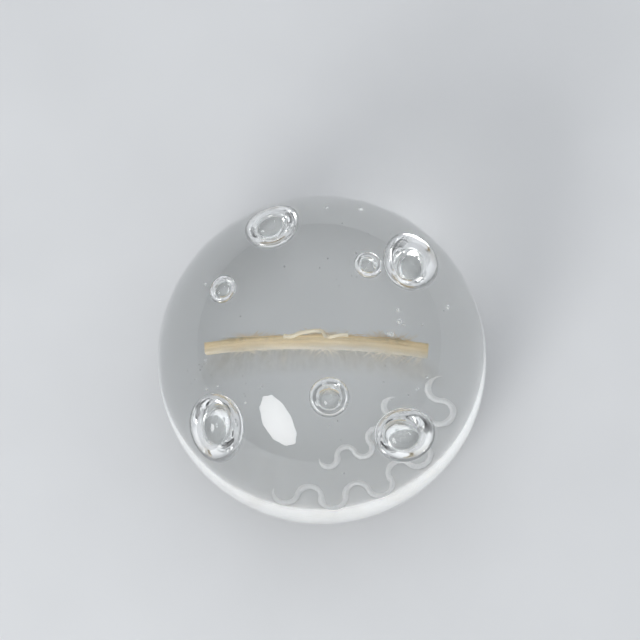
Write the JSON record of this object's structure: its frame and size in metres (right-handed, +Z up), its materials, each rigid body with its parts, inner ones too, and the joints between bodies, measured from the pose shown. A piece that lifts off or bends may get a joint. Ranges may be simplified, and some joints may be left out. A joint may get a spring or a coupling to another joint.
{
  "type": "paperweight",
  "caption": "Domed clear glass paperweight with trapped air bubbles and an upright inner picture: an arch of cream glass threads between two thin sheets.",
  "frame": {"origin": "centre of the ground foot, on the surface that the paperweight stands on", "axes": "+Z up through the crown, +X along the inner picture, -Y towards the side that the picture is seen from"},
  "size_m": [0.08, 0.08, 0.0572],
  "materials": {
    "clear_glass": "fire polished, with a ground and polished foot",
    "olive_glass": "translucent, streaked",
    "cream_glass": "opaque, drawn threads"
  },
  "bodies": {
    "root": {"casing_gather": "clear_glass", "core_gather": "clear_glass", "lower_sheet": "olive_glass", "upper_sheet": "olive_glass", "arch_thread_front_lower": "cream_glass", "arch_thread_middle_lower": "cream_glass", "arch_thread_back_lower": "cream_glass", "arch_thread_front_upper": "cream_glass", "arch_thread_middle_upper": "cream_glass", "arch_thread_back_upper": "cream_glass", "crest_thread": "cream_glass"}
  },
  "joints": []
}
